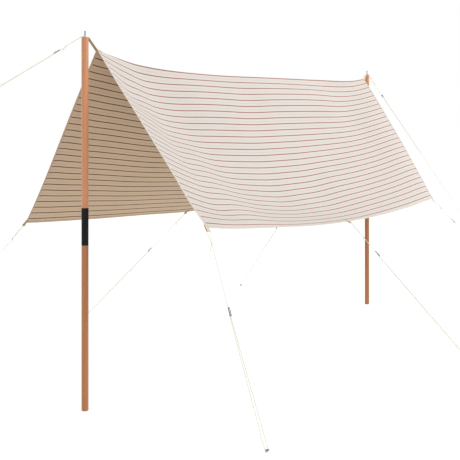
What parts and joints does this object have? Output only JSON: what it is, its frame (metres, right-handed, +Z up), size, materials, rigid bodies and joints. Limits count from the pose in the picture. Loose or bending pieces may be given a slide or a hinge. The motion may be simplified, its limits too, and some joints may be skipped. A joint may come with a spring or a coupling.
{
  "type": "ridge canopy",
  "caption": "Striped cotton canopy hung as a sagging ridge between two jointed round wooden poles, held out by guy ropes with metal sliders and ground pegs.",
  "frame": {"origin": "on the ground, at the middle of the whole footprint with its ropes and pegs", "axes": "+X along the ridge from the left pole to the right pole, -Y towards the front hem, +Z up"},
  "size_m": [11.194, 3.2644, 2.034],
  "materials": {
    "pole_wood": "satin",
    "sleeve_black": "satin",
    "steel": "satin",
    "striped_cotton": "matte",
    "cotton_webbing": "matte",
    "cotton_rope": "matte"
  },
  "bodies": {
    "root": {"left_pole_lower": "pole_wood", "left_pole_upper": "pole_wood", "left_pole_sleeve": "sleeve_black", "left_pole_pin": "steel", "left_ridge_tab": "cotton_webbing", "right_pole_lower": "pole_wood", "right_pole_upper": "pole_wood", "right_pole_sleeve": "sleeve_black", "right_pole_pin": "steel", "right_ridge_tab": "cotton_webbing", "canopy_cloth": "striped_cotton", "tab_front_left": "cotton_webbing", "tab_front_middle": "cotton_webbing", "tab_front_right": "cotton_webbing", "tab_back_left": "cotton_webbing", "tab_back_middle": "cotton_webbing", "tab_back_right": "cotton_webbing", "guy_rope_front_left": "cotton_rope", "slider_front_left": "steel", "peg_front_left": "steel", "guy_rope_front_middle": "cotton_rope", "slider_front_middle": "steel", "peg_front_middle": "steel", "guy_rope_front_right": "cotton_rope", "slider_front_right": "steel", "peg_front_right": "steel", "guy_rope_back_left": "cotton_rope", "slider_back_left": "steel", "peg_back_left": "steel", "guy_rope_back_middle": "cotton_rope", "slider_back_middle": "steel", "peg_back_middle": "steel", "guy_rope_back_right": "cotton_rope", "slider_back_right": "steel", "peg_back_right": "steel", "guy_rope_left_ridge": "cotton_rope", "slider_left_ridge": "steel", "peg_left_ridge": "steel", "guy_rope_right_ridge": "cotton_rope", "slider_right_ridge": "steel", "peg_right_ridge": "steel"}
  },
  "joints": []
}
